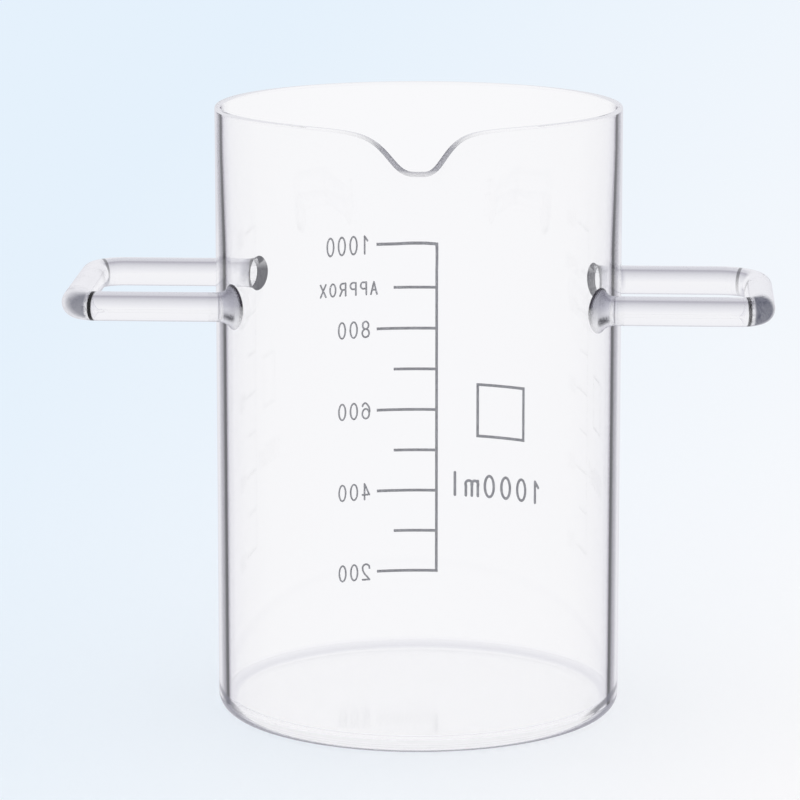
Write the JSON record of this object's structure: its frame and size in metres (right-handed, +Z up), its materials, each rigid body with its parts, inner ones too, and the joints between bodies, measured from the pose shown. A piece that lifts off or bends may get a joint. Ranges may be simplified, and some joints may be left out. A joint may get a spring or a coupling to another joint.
{
  "type": "quartz beaker with rod handles",
  "caption": "Tall clear fused-quartz beaker with a formed pouring spout, rod loop handles welded to its sides and a printed volume scale.",
  "frame": {"origin": "centre of the flat underside that the beaker rests on", "axes": "+Z up along the vessel's axis, handles along X with the right one at +X, spout at the front towards -Y, printed scale on the rear wall at +Y"},
  "size_m": [0.1893, 0.1167, 0.165],
  "materials": {
    "quartz": "clear fire-polished fused quartz, drawn tube",
    "quartz_rod": "clear fire-polished fused quartz, solid rod and weld",
    "fired_enamel": "matt grey fired enamel print"
  },
  "bodies": {
    "root": {"wall_tube": "quartz", "base_disc": "quartz", "left_handle": "quartz_rod", "right_handle": "quartz_rod", "left_front_weld": "quartz_rod", "left_rear_weld": "quartz_rod", "right_front_weld": "quartz_rod", "right_rear_weld": "quartz_rod", "scale_lines": "fired_enamel", "scale_numerals": "fired_enamel", "approx_mark": "fired_enamel", "capacity_mark": "fired_enamel", "marking_square": "fired_enamel"}
  },
  "joints": []
}
